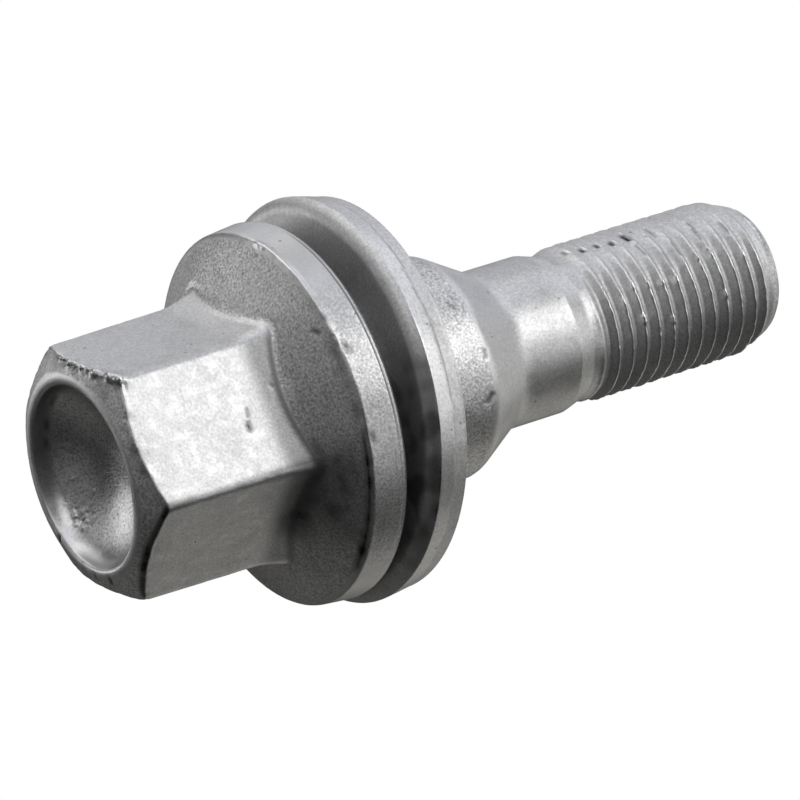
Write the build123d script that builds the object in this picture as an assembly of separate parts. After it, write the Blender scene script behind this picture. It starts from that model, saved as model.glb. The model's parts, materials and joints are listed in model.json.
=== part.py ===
from build123d import *
import os
from math import asin, cos, degrees, radians, sin, tan

# Wheel bolt with a captive washer, in millimetres and degrees.
# The bolt stands on the front ring of its head on Z = 0, with its shank up the Z axis
# and one corner of its hexagon on +X.

# Hexagon of the head
HEAD_HEIGHT = 18.1  # front ring to the bearing face of the flange
HEX_ACROSS_FLATS = 17.0  # where the flats end and the base starts to flare
HEX_HEIGHT = 10.2  # front ring to the start of the flare
HEX_DRAFT = 1.0  # forging draft of the flats
HEX_EDGE_RADIUS = 0.9  # rounding of the six upright edges
FLARE_ANGLE = 12.0  # spread of the flats into the flange
FRONT_RING_WIDTH = 0.72  # flat ring between the dish and the chamfer
FRONT_CHAMFER_ANGLE = 30.0  # chamfer against the front ring

# Dish forged into the front of the head
DISH_WALL = 1.6  # metal between the mouth of the dish and the flats
DISH_LIP_CHAMFER = 0.25
DISH_STEP_DEPTH = 1.4  # steep wall below the mouth
DISH_STEP_ANGLE = 18.6  # steep wall against the axis
DISH_DEPTH = 3.6  # mouth to the middle of the bowl

# Flange
FLANGE_DIAMETER = 28.1  # at the bearing face
FLANGE_RIM = 2.75  # height of the rim before its front edge is rounded
FLANGE_RIM_DRAFT = 6.0
FLANGE_SLOPE = 31.0  # front face against the bearing face
FLANGE_FRONT_RADIUS = 0.45
FLANGE_BACK_CHAMFER = 0.3

# Groove that traps the washer, and the collar that keeps it in
GROOVE_DEPTH = 0.9  # below the collar, all round
GROOVE_CHAMFER = 0.5  # in the corner under the flange
COLLAR_DIAMETER = 16.8
COLLAR_LENGTH = 11.6  # bearing face to the start of the seat cone
SEAT_CONE_HALF_ANGLE = 30.0

# Shank, relief and the M12 x 1.25 thread, as the plain cylinder of its crests
SHANK_DIAMETER = 12.0
SHANK_LENGTH = 5.0
SHOULDER_LENGTH = 1.45  # shank down to the relief
RELIEF_DIAMETER = 11.15
RELIEF_LENGTH = 0.5
RUN_IN_LENGTH = 1.0  # relief up to full crests
THREAD_DIAMETER = 11.86
THREAD_LENGTH = 16.3  # full crests to the end of the tip
TIP_LENGTH = 2.8
TIP_ANGLE = 22.5  # lead-in against the axis
TIP_RADIUS = 1.25

# Stamped washer, loose in the groove and leaning as it hangs there
WASHER_THICKNESS = 3.2
WASHER_DIAMETER = 29.7  # just below the die roll
WASHER_SEAT_DIAMETER = 28.8  # at the broken edge of the seat face
WASHER_DIE_ROLL = 1.1  # rounding the punch left on the flange side
WASHER_BORE_CHAMFER = 0.3  # flange side
WASHER_TILT = 4.0
WASHER_TILT_AZIMUTH = 30.0  # the side that dips towards the head, from +X
WASHER_BORE_CLEARANCE = 0.35  # least radial room between bore and groove
WASHER_FLANGE_GAP = 0.586  # least room between washer and bearing face
WASHER_END_PLAY = 0.6  # room before the washer meets the collar
SEAT_CLEARANCE = 0.8  # collar to the countersink on the seat face

# Radii and heights that follow from the sizes above
hex_front_flat = HEX_ACROSS_FLATS / 2 - HEX_HEIGHT * tan(radians(HEX_DRAFT))
dish_radius = hex_front_flat - DISH_WALL
ring_radius = dish_radius + FRONT_RING_WIDTH
bowl_radius = dish_radius - DISH_STEP_DEPTH * tan(radians(DISH_STEP_ANGLE))
flange_radius = FLANGE_DIAMETER / 2
flange_front_radius = flange_radius - FLANGE_RIM * tan(radians(FLANGE_RIM_DRAFT))
collar_radius = COLLAR_DIAMETER / 2
groove_radius = collar_radius - GROOVE_DEPTH
shank_radius = SHANK_DIAMETER / 2
relief_radius = RELIEF_DIAMETER / 2
thread_radius = THREAD_DIAMETER / 2

tilt = radians(WASHER_TILT)
washer_half = WASHER_THICKNESS / 2
washer_bore_radius = (groove_radius + WASHER_BORE_CLEARANCE + washer_half * sin(tilt)) / cos(tilt)
washer_front_gap = WASHER_FLANGE_GAP + flange_radius * tan(tilt)
washer_z = HEAD_HEIGHT + washer_front_gap + washer_half / cos(tilt)

rim_z = HEAD_HEIGHT - FLANGE_RIM
groove_end_z = washer_z + washer_half / cos(tilt) + washer_bore_radius * tan(tilt) + WASHER_END_PLAY
collar_z = groove_end_z + GROOVE_DEPTH
cone_z = HEAD_HEIGHT + COLLAR_LENGTH
shank_z = cone_z + (collar_radius - shank_radius) / tan(radians(SEAT_CONE_HALF_ANGLE))
shoulder_z = shank_z + SHANK_LENGTH
relief_z = shoulder_z + SHOULDER_LENGTH
run_in_z = relief_z + RELIEF_LENGTH
thread_z = run_in_z + RUN_IN_LENGTH
end_z = thread_z + THREAD_LENGTH
lead_in_z = end_z - TIP_LENGTH
tip_radius = thread_radius - TIP_LENGTH * tan(radians(TIP_ANGLE))


def turned(corners):
    """Solid of revolution about Z from closed corners of (radius, height, rounding)."""
    points = [(radius, height) for radius, height, _ in corners]
    outline = FilletPolyline(*points, radius=[rounding for _, _, rounding in corners], close=True)
    return revolve(Plane.XZ * make_face(outline), Axis.Z)


def hexagon():
    """Drafted wrenching hexagon and the flare at its base, up to the height of the flange's rim."""
    flats = RegularPolygon(HEX_ACROSS_FLATS / 2, 6, major_radius=False)
    section = fillet(flats.vertices(), HEX_EDGE_RADIUS)
    body = Rot(180, 0, 0) * extrude(section, HEX_HEIGHT, taper=HEX_DRAFT)
    flare = extrude(section, rim_z - HEX_HEIGHT, taper=-FLARE_ANGLE)
    return Pos(0, 0, HEX_HEIGHT) * (body + flare)


def front_form():
    """Revolved blank whose lower end has the dish, its lip, the front ring and the chamfer."""
    reach = HEX_ACROSS_FLATS
    chamfer_rise = (reach - ring_radius) * tan(radians(FRONT_CHAMFER_ANGLE))
    blank = turned(
        [
            (0, 0, 0),
            (ring_radius, 0, 0),
            (reach, chamfer_rise, 0),
            (reach, HEAD_HEIGHT, 0),
            (0, HEAD_HEIGHT, 0),
        ]
    )
    bowl_rise = DISH_DEPTH - DISH_STEP_DEPTH
    sphere_radius = (bowl_radius**2 + bowl_rise**2) / (2 * bowl_rise)
    bowl_angle = degrees(asin(bowl_radius / sphere_radius))
    bowl = CenterArc((0, DISH_DEPTH - sphere_radius), sphere_radius, 90, -bowl_angle)
    outline = bowl + Polyline(bowl @ 1, (dish_radius, 0), (0, 0), bowl @ 0)
    hollow = blank - revolve(Plane.XZ * make_face(outline), Axis.Z)
    lip = hollow.edges().group_by(Axis.Z)[0].sort_by(SortBy.RADIUS)[0]
    return chamfer(lip, DISH_LIP_CHAMFER)


def stem():
    """Everything turned and rolled below the hexagon: flange, groove, collar, cone and thread."""
    slope = tan(radians(FLANGE_SLOPE))
    core_z = rim_z - (flange_front_radius - groove_radius) * slope
    back_radius = flange_radius - FLANGE_BACK_CHAMFER * tan(radians(FLANGE_RIM_DRAFT))
    return turned(
        [
            (0, core_z, 0),
            (groove_radius, core_z, 0),
            (flange_front_radius, rim_z, FLANGE_FRONT_RADIUS),
            (back_radius, HEAD_HEIGHT - FLANGE_BACK_CHAMFER, 0),
            (flange_radius - FLANGE_BACK_CHAMFER, HEAD_HEIGHT, 0),
            (groove_radius + GROOVE_CHAMFER, HEAD_HEIGHT, 0),
            (groove_radius, HEAD_HEIGHT + GROOVE_CHAMFER, 0),
            (groove_radius, groove_end_z, 0),
            (collar_radius, collar_z, 0),
            (collar_radius, cone_z, 0),
            (shank_radius, shank_z, 0),
            (shank_radius, shoulder_z, 0),
            (relief_radius, relief_z, 0),
            (relief_radius, run_in_z, 0),
            (thread_radius, thread_z, 0),
            (thread_radius, lead_in_z, 0),
            (tip_radius, end_z, TIP_RADIUS),
            (0, end_z, 0),
        ]
    )


def bolt():
    """Bolt forged and rolled in one piece."""
    return (hexagon() & front_form()) + stem()


def captive_washer():
    """Stamped ring with a die roll, a broken rim that narrows to its seat, and a countersink."""
    countersink_radius = collar_radius + SEAT_CLEARANCE
    countersink_z = washer_half - (countersink_radius - washer_bore_radius)
    rim_slope = (WASHER_DIAMETER - WASHER_SEAT_DIAMETER) / 2 / (WASHER_THICKNESS - WASHER_DIE_ROLL)
    front_corner = WASHER_DIAMETER / 2 + WASHER_DIE_ROLL * rim_slope
    ring = turned(
        [
            (washer_bore_radius + WASHER_BORE_CHAMFER, -washer_half, 0),
            (front_corner, -washer_half, WASHER_DIE_ROLL),
            (WASHER_SEAT_DIAMETER / 2, washer_half, 0),
            (countersink_radius, washer_half, 0),
            (washer_bore_radius, countersink_z, 0),
            (washer_bore_radius, WASHER_BORE_CHAMFER - washer_half, 0),
        ]
    )
    return Pos(0, 0, washer_z) * Rot(0, 0, WASHER_TILT_AZIMUTH) * Rot(0, WASHER_TILT, 0) * ring


os.makedirs("parts", exist_ok=True)
for make in (bolt, captive_washer):
    export_step(make(), f"parts/{make.__name__}.step")
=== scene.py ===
import json
import logging
import math
from collections.abc import Callable
from dataclasses import dataclass, replace
from enum import Enum, IntEnum, auto

import bmesh
import bpy
from mathutils import Matrix, Vector, kdtree, noise
from mathutils.geometry import intersect_point_line


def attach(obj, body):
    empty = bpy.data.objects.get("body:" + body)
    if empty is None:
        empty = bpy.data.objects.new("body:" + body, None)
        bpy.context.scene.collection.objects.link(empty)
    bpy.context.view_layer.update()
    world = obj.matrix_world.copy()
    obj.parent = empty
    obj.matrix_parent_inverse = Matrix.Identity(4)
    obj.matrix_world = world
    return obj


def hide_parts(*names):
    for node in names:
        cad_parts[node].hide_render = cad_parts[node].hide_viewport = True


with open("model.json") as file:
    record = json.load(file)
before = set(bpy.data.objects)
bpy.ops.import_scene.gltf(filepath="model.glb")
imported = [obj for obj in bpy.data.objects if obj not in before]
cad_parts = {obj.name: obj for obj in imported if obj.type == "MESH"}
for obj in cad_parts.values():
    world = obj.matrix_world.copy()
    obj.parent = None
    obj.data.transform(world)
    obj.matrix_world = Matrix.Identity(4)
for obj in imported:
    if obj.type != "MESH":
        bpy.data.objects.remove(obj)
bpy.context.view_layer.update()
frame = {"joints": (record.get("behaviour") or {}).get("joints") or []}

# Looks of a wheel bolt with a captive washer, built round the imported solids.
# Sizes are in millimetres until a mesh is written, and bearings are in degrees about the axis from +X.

LOG = logging.getLogger("wheel_bolt")
MM = 0.001
SECTORS = 16  # equal slices that a full turn is made of
SIXTH = math.radians(60)  # from one corner of the hexagon to the next
MERGE = 1e-3  # vertices closer than this become one
HIDDEN_STRIDE = 4  # steps are this much longer in zones that don't show
MARK_SPAN = 2.5  # reaches from its line at which a mark has died away
BEAD_SHINE = 0.8  # polish on top of a bead of coating
FAR = 99.0  # away from every edge of the hexagon


class Zone(IntEnum):
    """Stretch of a skin that a ring of vertices belongs to."""

    DISH = auto()
    LIP = auto()
    CHAMFER = auto()
    FLATS = auto()
    FLARE = auto()
    CONE = auto()
    RIM = auto()
    BEARING = auto()
    COLLAR = auto()
    SEAT = auto()
    SHANK = auto()
    THREAD = auto()
    TIP = auto()
    FACE = auto()
    SHEAR = auto()
    BORE = auto()


HIDDEN = (Zone.BEARING, Zone.BORE)


@dataclass(frozen=True)
class Corner:
    """Corner of a turned outline: distance from the axis, height, rounding and what follows it."""

    radius: float
    height: float
    rounding: float = 0.0
    zone: Zone = Zone.RIM


@dataclass(frozen=True)
class Ring:
    """Ring of vertices: a zone, its place, and its share of the way across a zone of the hexagon."""

    zone: Zone
    radius: float = 0.0
    height: float = 0.0
    share: float = 0.0


@dataclass(frozen=True)
class Relief:
    """Unevenness of a surface: a broad swell and a finer grain, each a depth and a size."""

    swell: float
    swell_size: float
    grain: float
    grain_size: float

    def depth(self, point: Vector) -> float:
        """Depth below the true surface, never negative.

        Args:
            point: place on the surface.

        Returns:
            Depth in millimetres.
        """
        broad = 0.5 + 0.5 * noise.noise(point / self.swell_size)
        fine = 0.5 + 0.5 * noise.noise(point / self.grain_size)
        return self.swell * broad + self.grain * fine


@dataclass(frozen=True)
class Mark:
    """Dent or scratch from one place to another, or a lump if its depth is negative.

    A place is a radius, a bearing and a height.
    """

    start: tuple[float, float, float]
    end: tuple[float, float, float]
    reach: float
    depth: float
    soot_and_shade: float = 0.0

    def ends(self) -> tuple[Vector, Vector]:
        """Both ends as points."""
        return polar(*self.start), polar(*self.end)

    def away(self, point: Vector) -> float:
        """Measures how far a point lies from the mark's line.

        Args:
            point: the point.

        Returns:
            Distance in reaches.
        """
        start, end = self.ends()
        share = 0.0
        if (end - start).length > 1e-6:
            share = min(1.0, max(0.0, intersect_point_line(point, start, end)[1]))
        return (point - start.lerp(end, share)).length / self.reach


@dataclass(frozen=True)
class Spot:
    """Place on the bolt's skin, with what the deposit and painted shade there depend on.

    Away is the distance to the nearest edge or crease of the hexagon or, on the thread, from its crest
    as a share of the pitch. Patch and lump are the broad and fine unevenness of the deposit and painted
    shade, from 0 to 1.
    """

    zone: Zone
    point: Vector
    bearing: float
    radius: float
    away: float
    patch: float
    lump: float


def polar(radius: float, bearing: float, height: float) -> Vector:
    """Point at a distance from the axis, a bearing in degrees and a height."""
    angle = math.radians(bearing)
    return Vector((radius * math.cos(angle), radius * math.sin(angle), height))


def bearing_of(point: Vector) -> float:
    """Bearing of a point about the axis, from 0 to 360 degrees."""
    return math.degrees(math.atan2(point.y, point.x)) % 360


def corner_distance(point: Vector) -> float:
    """Distance round the axis from a point to the nearest corner of the hexagon."""
    return math.radians(abs((bearing_of(point) + 30) % 60 - 30)) * point.xy.length


def smooth_step(value: float, low: float, high: float) -> float:
    """Eases from 0 at low to 1 at high; low may be the greater."""
    share = min(1.0, max(0.0, (value - low) / (high - low)))
    return share * share * (3 - 2 * share)


def sector(bearing: float, middle: float, inner: float, outer: float) -> float:
    """Eases from 1 within an angle of a bearing to 0 beyond a wider angle."""
    return smooth_step(abs((bearing - middle + 180) % 360 - 180), outer, inner)


def bell(distance: float, reach: float) -> float:
    """Falls from 1 at no distance to 0 a few reaches away."""
    return math.exp(-((distance / reach) ** 2))


def linear(colour: str) -> tuple[float, float, float, float]:
    """Turns an sRGB hex colour into linear light.

    Args:
        colour: six hex digits after a hash sign.

    Returns:
        Red, green, blue and an alpha of one.
    """
    parts = [int(colour[i : i + 2], 16) / 255 for i in (1, 3, 5)]
    light = [p / 12.92 if p <= 0.04045 else ((p + 0.055) / 1.055) ** 2.4 for p in parts]
    return (*light, 1.0)


def add_node(tree: bpy.types.NodeTree, kind: str, inputs: dict, **options) -> bpy.types.Node:
    """Adds one node with its options, socket values and links.

    Args:
        tree: node tree to add to.
        kind: Blender's name of the node type.
        inputs: socket name or number to a value, or to an output socket to link from.
        options: properties of the node itself.

    Returns:
        The new node.
    """
    node = tree.nodes.new(kind)
    for name, value in options.items():
        setattr(node, name, value)
    for name, value in inputs.items():
        if isinstance(value, bpy.types.NodeSocket):
            tree.links.new(value, node.inputs[name])
        else:
            node.inputs[name].default_value = value
    return node


def turned_path(corners: list[Corner], spacing: float) -> list[Ring]:
    """Walks along a turned outline and rounds its corners.

    Args:
        corners: corners in order; the first and last are its ends.
        spacing: longest step between two rings; hidden zones take longer ones.

    Returns:
        Rings from the first corner to the last.
    """
    places = [Vector((c.radius, c.height)) for c in corners]
    rings = [Ring(corners[0].zone, *places[0])]
    for i in range(1, len(corners)):
        turn = [places[i]]
        if corners[i].rounding and i + 1 < len(corners):
            back = (places[i - 1] - places[i]).normalized()
            ahead = (places[i + 1] - places[i]).normalized()
            half = (math.pi - back.angle(ahead)) / 2
            reach = corners[i].rounding * math.tan(half)
            middle = places[i] + (back + ahead).normalized() * corners[i].rounding / math.cos(half)
            first, last = (places[i] + way * reach - middle for way in (back, ahead))
            steps = max(3, math.ceil(2 * half * corners[i].rounding / spacing))
            ways = [first.slerp(last, k / steps).normalized() for k in range(steps + 1)]
            turn = [middle + way * corners[i].rounding for way in ways]
        start = Vector((rings[-1].radius, rings[-1].height))
        stride = spacing * (HIDDEN_STRIDE if corners[i - 1].zone in HIDDEN else 1)
        steps = max(1, math.ceil((turn[0] - start).length / stride - 1e-6))
        for k in range(1, steps + 1):
            rings.append(Ring(corners[i - 1].zone, *start.lerp(turn[0], k / steps)))
        rings += [Ring(corners[i].zone, *point) for point in turn[1:]]
    return rings


class Skin:
    """Mesh in the making, in millimetres, whose vertices know their zone, their weathering and their painted
    light and shade.
    """

    def __init__(self, columns: int) -> None:
        """Starts an empty mesh.

        Args:
            columns: vertices in each ring, a multiple of the number of sectors.
        """
        self.columns = columns
        self.bm = bmesh.new()
        self.ring = self.bm.verts.layers.int.new("ring")
        self.zone = self.bm.verts.layers.int.new("zone")
        self.form = self.bm.verts.layers.float.new("form")
        # Darkness of deposits and of painted shade, per vertex
        self.soot_and_shade = self.bm.verts.layers.float.new("soot_and_shade")
        self.shine = self.bm.verts.layers.float.new("shine")
        self.grit = self.bm.verts.layers.float.new("grit")

    def spin(self, rings: list[Ring], closed: bool = False) -> list[bmesh.types.BMVert]:
        """Spins a line of rings about the axis.

        Args:
            rings: rings in order.
            closed: whether the last ring joins the first.

        Returns:
            All vertices of the turned surface.
        """
        line = []
        for index, ring in enumerate(rings):
            vert = self.bm.verts.new((ring.radius, 0, ring.height))
            vert[self.ring] = index
            vert[self.zone] = ring.zone
            line.append(vert)
        pairs = list(zip(line, line[1:])) + ([(line[-1], line[0])] if closed else [])
        return self.sweep(line, [self.bm.edges.new(pair) for pair in pairs], 0.0)

    def sweep(
        self, line: list[bmesh.types.BMVert], edges: list[bmesh.types.BMEdge], rise: float
    ) -> list[bmesh.types.BMVert]:
        """Carries a line once round the axis: spins one sector, then repeats the sector.

        Args:
            line: vertices of the line.
            edges: its edges.
            rise: climb over the whole turn.

        Returns:
            All vertices of the surface, joined along every seam.
        """
        known = set(self.bm.verts) - set(line)
        slice_angle = 2 * math.pi / SECTORS
        bmesh.ops.spin(
            self.bm,
            geom=line + edges,
            axis=(0, 0, 1),
            dvec=(0, 0, rise / self.columns),
            angle=slice_angle,
            steps=self.columns // SECTORS,
        )
        bmesh.ops.spin(
            self.bm,
            geom=self.newer(known),
            axis=(0, 0, 1),
            dvec=(0, 0, rise / SECTORS),
            angle=slice_angle * (SECTORS - 1),
            steps=SECTORS - 1,
            use_duplicate=True,
        )
        verts = [v for v in self.bm.verts if v not in known]
        bmesh.ops.remove_doubles(self.bm, verts=verts, dist=MERGE)
        return [v for v in self.bm.verts if v not in known]

    def newer(self, known: set[bmesh.types.BMVert]) -> list:
        """Collects what was made since a set of known vertices was taken.

        Args:
            known: vertices that were there before.

        Returns:
            New vertices, edges and faces.
        """
        verts = [v for v in self.bm.verts if v not in known]
        edges = [e for e in self.bm.edges if e.verts[0] not in known]
        return verts + edges + [f for f in self.bm.faces if f.verts[0] not in known]

    def open_loop(self, height: float) -> list[bmesh.types.BMEdge]:
        """Open edges of the skin that lie at a height."""
        edges = [e for e in self.bm.edges if e.is_boundary]
        return [e for e in edges if all(abs(v.co.z - height) < MERGE for v in e.verts)]

    def reached(self, marks: tuple[Mark, ...]) -> list[tuple[bmesh.types.BMVert, Mark, float]]:
        """Finds the vertices round each mark.

        Args:
            marks: marks to look round.

        Returns:
            A vertex, a mark and the distance between them in reaches, for every such pair.
        """
        tree = kdtree.KDTree(len(self.bm.verts))
        for index, vert in enumerate(self.bm.verts):
            tree.insert(vert.co, index)
        tree.balance()
        self.bm.verts.ensure_lookup_table()
        found = []
        for mark in marks:
            start, end = mark.ends()
            span = (end - start).length / 2 + MARK_SPAN * mark.reach
            for point, index, _ in tree.find_range((start + end) / 2, span):
                found.append((self.bm.verts[index], mark, mark.away(point)))
        return found

    def refine(self, marks: tuple[Mark, ...]) -> None:
        """Divides the faces that marks fall on, so that small marks have a shape.

        Args:
            marks: marks to make room for.
        """
        close = {vert for vert, _, away in self.reached(marks) if away < MARK_SPAN}
        edges = {edge for vert in close for edge in vert.link_edges}
        bmesh.ops.subdivide_edges(self.bm, edges=list(edges), cuts=1, use_grid_fill=True)

    def sink(self, depth: Callable[[bmesh.types.BMVert], float]) -> None:
        """Moves every vertex below the surface along its normal.

        Args:
            depth: how far a vertex goes.
        """
        bmesh.ops.recalc_face_normals(self.bm, faces=self.bm.faces)
        self.bm.normal_update()
        moves = [(vert, vert.normal * depth(vert)) for vert in self.bm.verts]
        for vert, move in moves:
            vert.co -= move

    def press(self, marks: tuple[Mark, ...]) -> None:
        """Presses the marks into the skin, darkens the dents and burnishes the lumps.

        Args:
            marks: dents, scratches and lumps.
        """
        self.bm.normal_update()
        for vert, mark, away in self.reached(marks):
            press = bell(away, 1.0)
            vert.co -= vert.normal * mark.depth * press
            vert[self.soot_and_shade] = max(vert[self.soot_and_shade], mark.soot_and_shade * press)
            if mark.depth < 0:
                vert[self.shine] = max(vert[self.shine], BEAD_SHINE * press)

    def finish(self, name: str, place: Matrix, material: bpy.types.Material) -> bpy.types.Object:
        """Turns the skin into an object.

        Args:
            name: the piece's name.
            place: where the skin goes, in millimetres.
            material: its finish.

        Returns:
            The new object, at the origin with its place in its mesh.
        """
        bmesh.ops.recalc_face_normals(self.bm, faces=self.bm.faces)
        bmesh.ops.transform(self.bm, matrix=Matrix.Scale(MM, 4) @ place, verts=self.bm.verts)
        mesh = bpy.data.meshes.new(name)
        self.bm.to_mesh(mesh)
        self.bm.free()
        mesh.shade_smooth()
        mesh.materials.append(material)
        piece = bpy.data.objects.new(name, mesh)
        bpy.context.scene.collection.objects.link(piece)
        return piece


@dataclass(frozen=True)
class ZincFlake:
    """Zinc flake coating: metal flakes in a thin binder, dipped and baked onto steel."""

    name: str
    pale: str = "#E6E6E7"
    mid: str = "#C8C8C8"
    deep: str = "#A2A2A0"
    # Colour of the deposits and of painted shade
    dirt_and_shade: str = "#1C1C1A"
    roughness: float = 0.42
    polish: float = 0.28
    cloud_mm: float = 2.4
    grain_mm: float = 0.19
    grain_depth_mm: float = 0.02
    speck_mm: float = 1.1
    speck_reach: float = 0.09

    def material(self) -> bpy.types.Material:
        """Builds the coat, the deposits and painted light and shade on it, and its fine relief.

        Returns:
            A matt grey metal, fine in grain and cloudy, with specks, dark deposits, painted shade and painted
            highlights.
        """
        material = bpy.data.materials.new(self.name)
        material.use_nodes = True
        tree = material.node_tree
        tree.nodes.clear()
        place = add_node(tree, "ShaderNodeTexCoord", {}).outputs["Object"]
        grain, cloud = (
            add_node(
                tree,
                "ShaderNodeTexNoise",
                {"Vector": place, "Scale": 1 / (size * MM), "Detail": 3.0, "Roughness": 0.55},
            ).outputs["Fac"]
            for size in (self.grain_mm, self.cloud_mm)
        )
        cells = add_node(tree, "ShaderNodeTexVoronoi", {"Vector": place, "Scale": 1 / (self.speck_mm * MM)})
        soot_and_shade, shine, grit = (
            add_node(tree, "ShaderNodeAttribute", {}, attribute_name=name).outputs["Fac"]
            for name in ("soot_and_shade", "shine", "grit")
        )

        # Flakes lie at all angles, so the coat varies from grain to grain, most where the steel is rough
        offset = add_node(tree, "ShaderNodeMath", {0: grain, 1: 0.5}, operation="SUBTRACT").outputs[0]
        scaled = add_node(tree, "ShaderNodeMath", {0: offset, 1: grit, 2: 0.5}, operation="MULTIPLY_ADD")
        coarse = scaled.outputs[0]

        # Oil and deposits, with painted shade, lie where the geometry says, with a ragged border, and thinly
        # in clouds and specks
        ragged, film_and_shade, near, chosen = (
            add_node(
                tree,
                "ShaderNodeMapRange",
                {"Value": value, "From Min": start, "From Max": end, "To Max": most},
            ).outputs["Result"]
            for value, start, end, most in (
                (grain, 0.25, 0.7, 0.5),
                (cloud, 0.5, 0.8, 0.16),
                (cells.outputs["Distance"], 1.5 * self.speck_reach, 0.5 * self.speck_reach, 1.0),
                (cells.outputs["Color"], 0.6, 0.8, 0.7),
            )
        )
        grime_and_shade = add_node(tree, "ShaderNodeMath", {0: soot_and_shade, 1: ragged, 2: soot_and_shade}, operation="MULTIPLY_ADD")
        dark = add_node(
            tree, "ShaderNodeMapRange", {"Value": grime_and_shade.outputs[0], "From Min": 0.06, "From Max": 1.25}
        ).outputs["Result"]
        specks = add_node(tree, "ShaderNodeMath", {0: near, 1: chosen, 2: film_and_shade}, operation="MULTIPLY_ADD")
        stain_and_shade = add_node(tree, "ShaderNodeMath", {0: specks.outputs[0], 1: dark}, operation="MAXIMUM")

        # Over the plain coat lie the rubbed places and painted highlights, the light and the deep grains, and
        # the deposits with painted shade
        colour = linear(self.mid)
        for value, start, end, most, tint in (
            (shine, 0.0, 1.0, 0.6, self.pale),
            (coarse, 0.5, 0.72, 1.0, self.pale),
            (coarse, 0.5, 0.26, 1.0, self.deep),
            (stain_and_shade.outputs[0], 0.0, 1.0, 1.0, self.dirt_and_shade),
        ):
            share = add_node(
                tree,
                "ShaderNodeMapRange",
                {"Value": value, "From Min": start, "From Max": end, "To Max": most},
            )
            layers = {0: share.outputs["Result"], 6: colour, 7: linear(tint)}
            colour = add_node(tree, "ShaderNodeMix", layers, data_type="RGBA").outputs[2]

        # Rubbed places and painted highlights are smoother than the plain coat, and sheltered places rougher
        # by as much
        rough = add_node(
            tree,
            "ShaderNodeMapRange",
            {
                "Value": shine,
                "From Min": -1.0,
                "To Min": 2 * self.roughness - self.polish,
                "To Max": self.polish,
            },
        )
        bump = add_node(
            tree, "ShaderNodeBump", {"Height": grain, "Strength": grit, "Distance": self.grain_depth_mm * MM}
        )
        shader = add_node(
            tree,
            "ShaderNodeBsdfPrincipled",
            {
                "Base Color": colour,
                "Metallic": 1.0,
                "Roughness": rough.outputs["Result"],
                "Normal": bump.outputs["Normal"],
            },
        )
        add_node(tree, "ShaderNodeOutputMaterial", {"Surface": shader.outputs["BSDF"]})
        return material


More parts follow.
